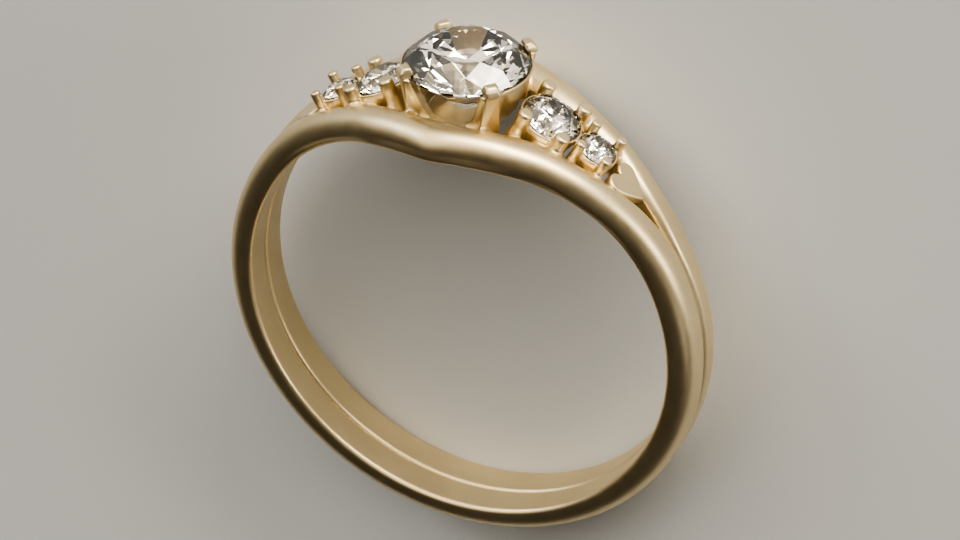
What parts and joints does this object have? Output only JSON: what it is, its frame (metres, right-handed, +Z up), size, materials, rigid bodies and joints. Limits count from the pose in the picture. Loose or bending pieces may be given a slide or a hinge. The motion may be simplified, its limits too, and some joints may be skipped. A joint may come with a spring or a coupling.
{
  "type": "wedding ring",
  "caption": "Gold wedding ring lying on its side, with a split band, a row of round brilliants in claw and post settings, and a heart at each end of the row.",
  "frame": {"origin": "the middle of the ring's footprint, on the surface that it rests on", "axes": "+Z up from the surface; +X along the row of stones; +Y from the back of the band towards the centre stone"},
  "size_m": [0.0194, 0.0214, 0.0074],
  "materials": {
    "gold": "satin champagne gold",
    "diamond": "polished facets"
  },
  "bodies": {
    "root": {"gold_mounting": "gold", "centre_stone": "diamond", "inner_stone_left": "diamond", "inner_stone_right": "diamond", "outer_stone_left": "diamond", "outer_stone_right": "diamond"}
  },
  "joints": []
}
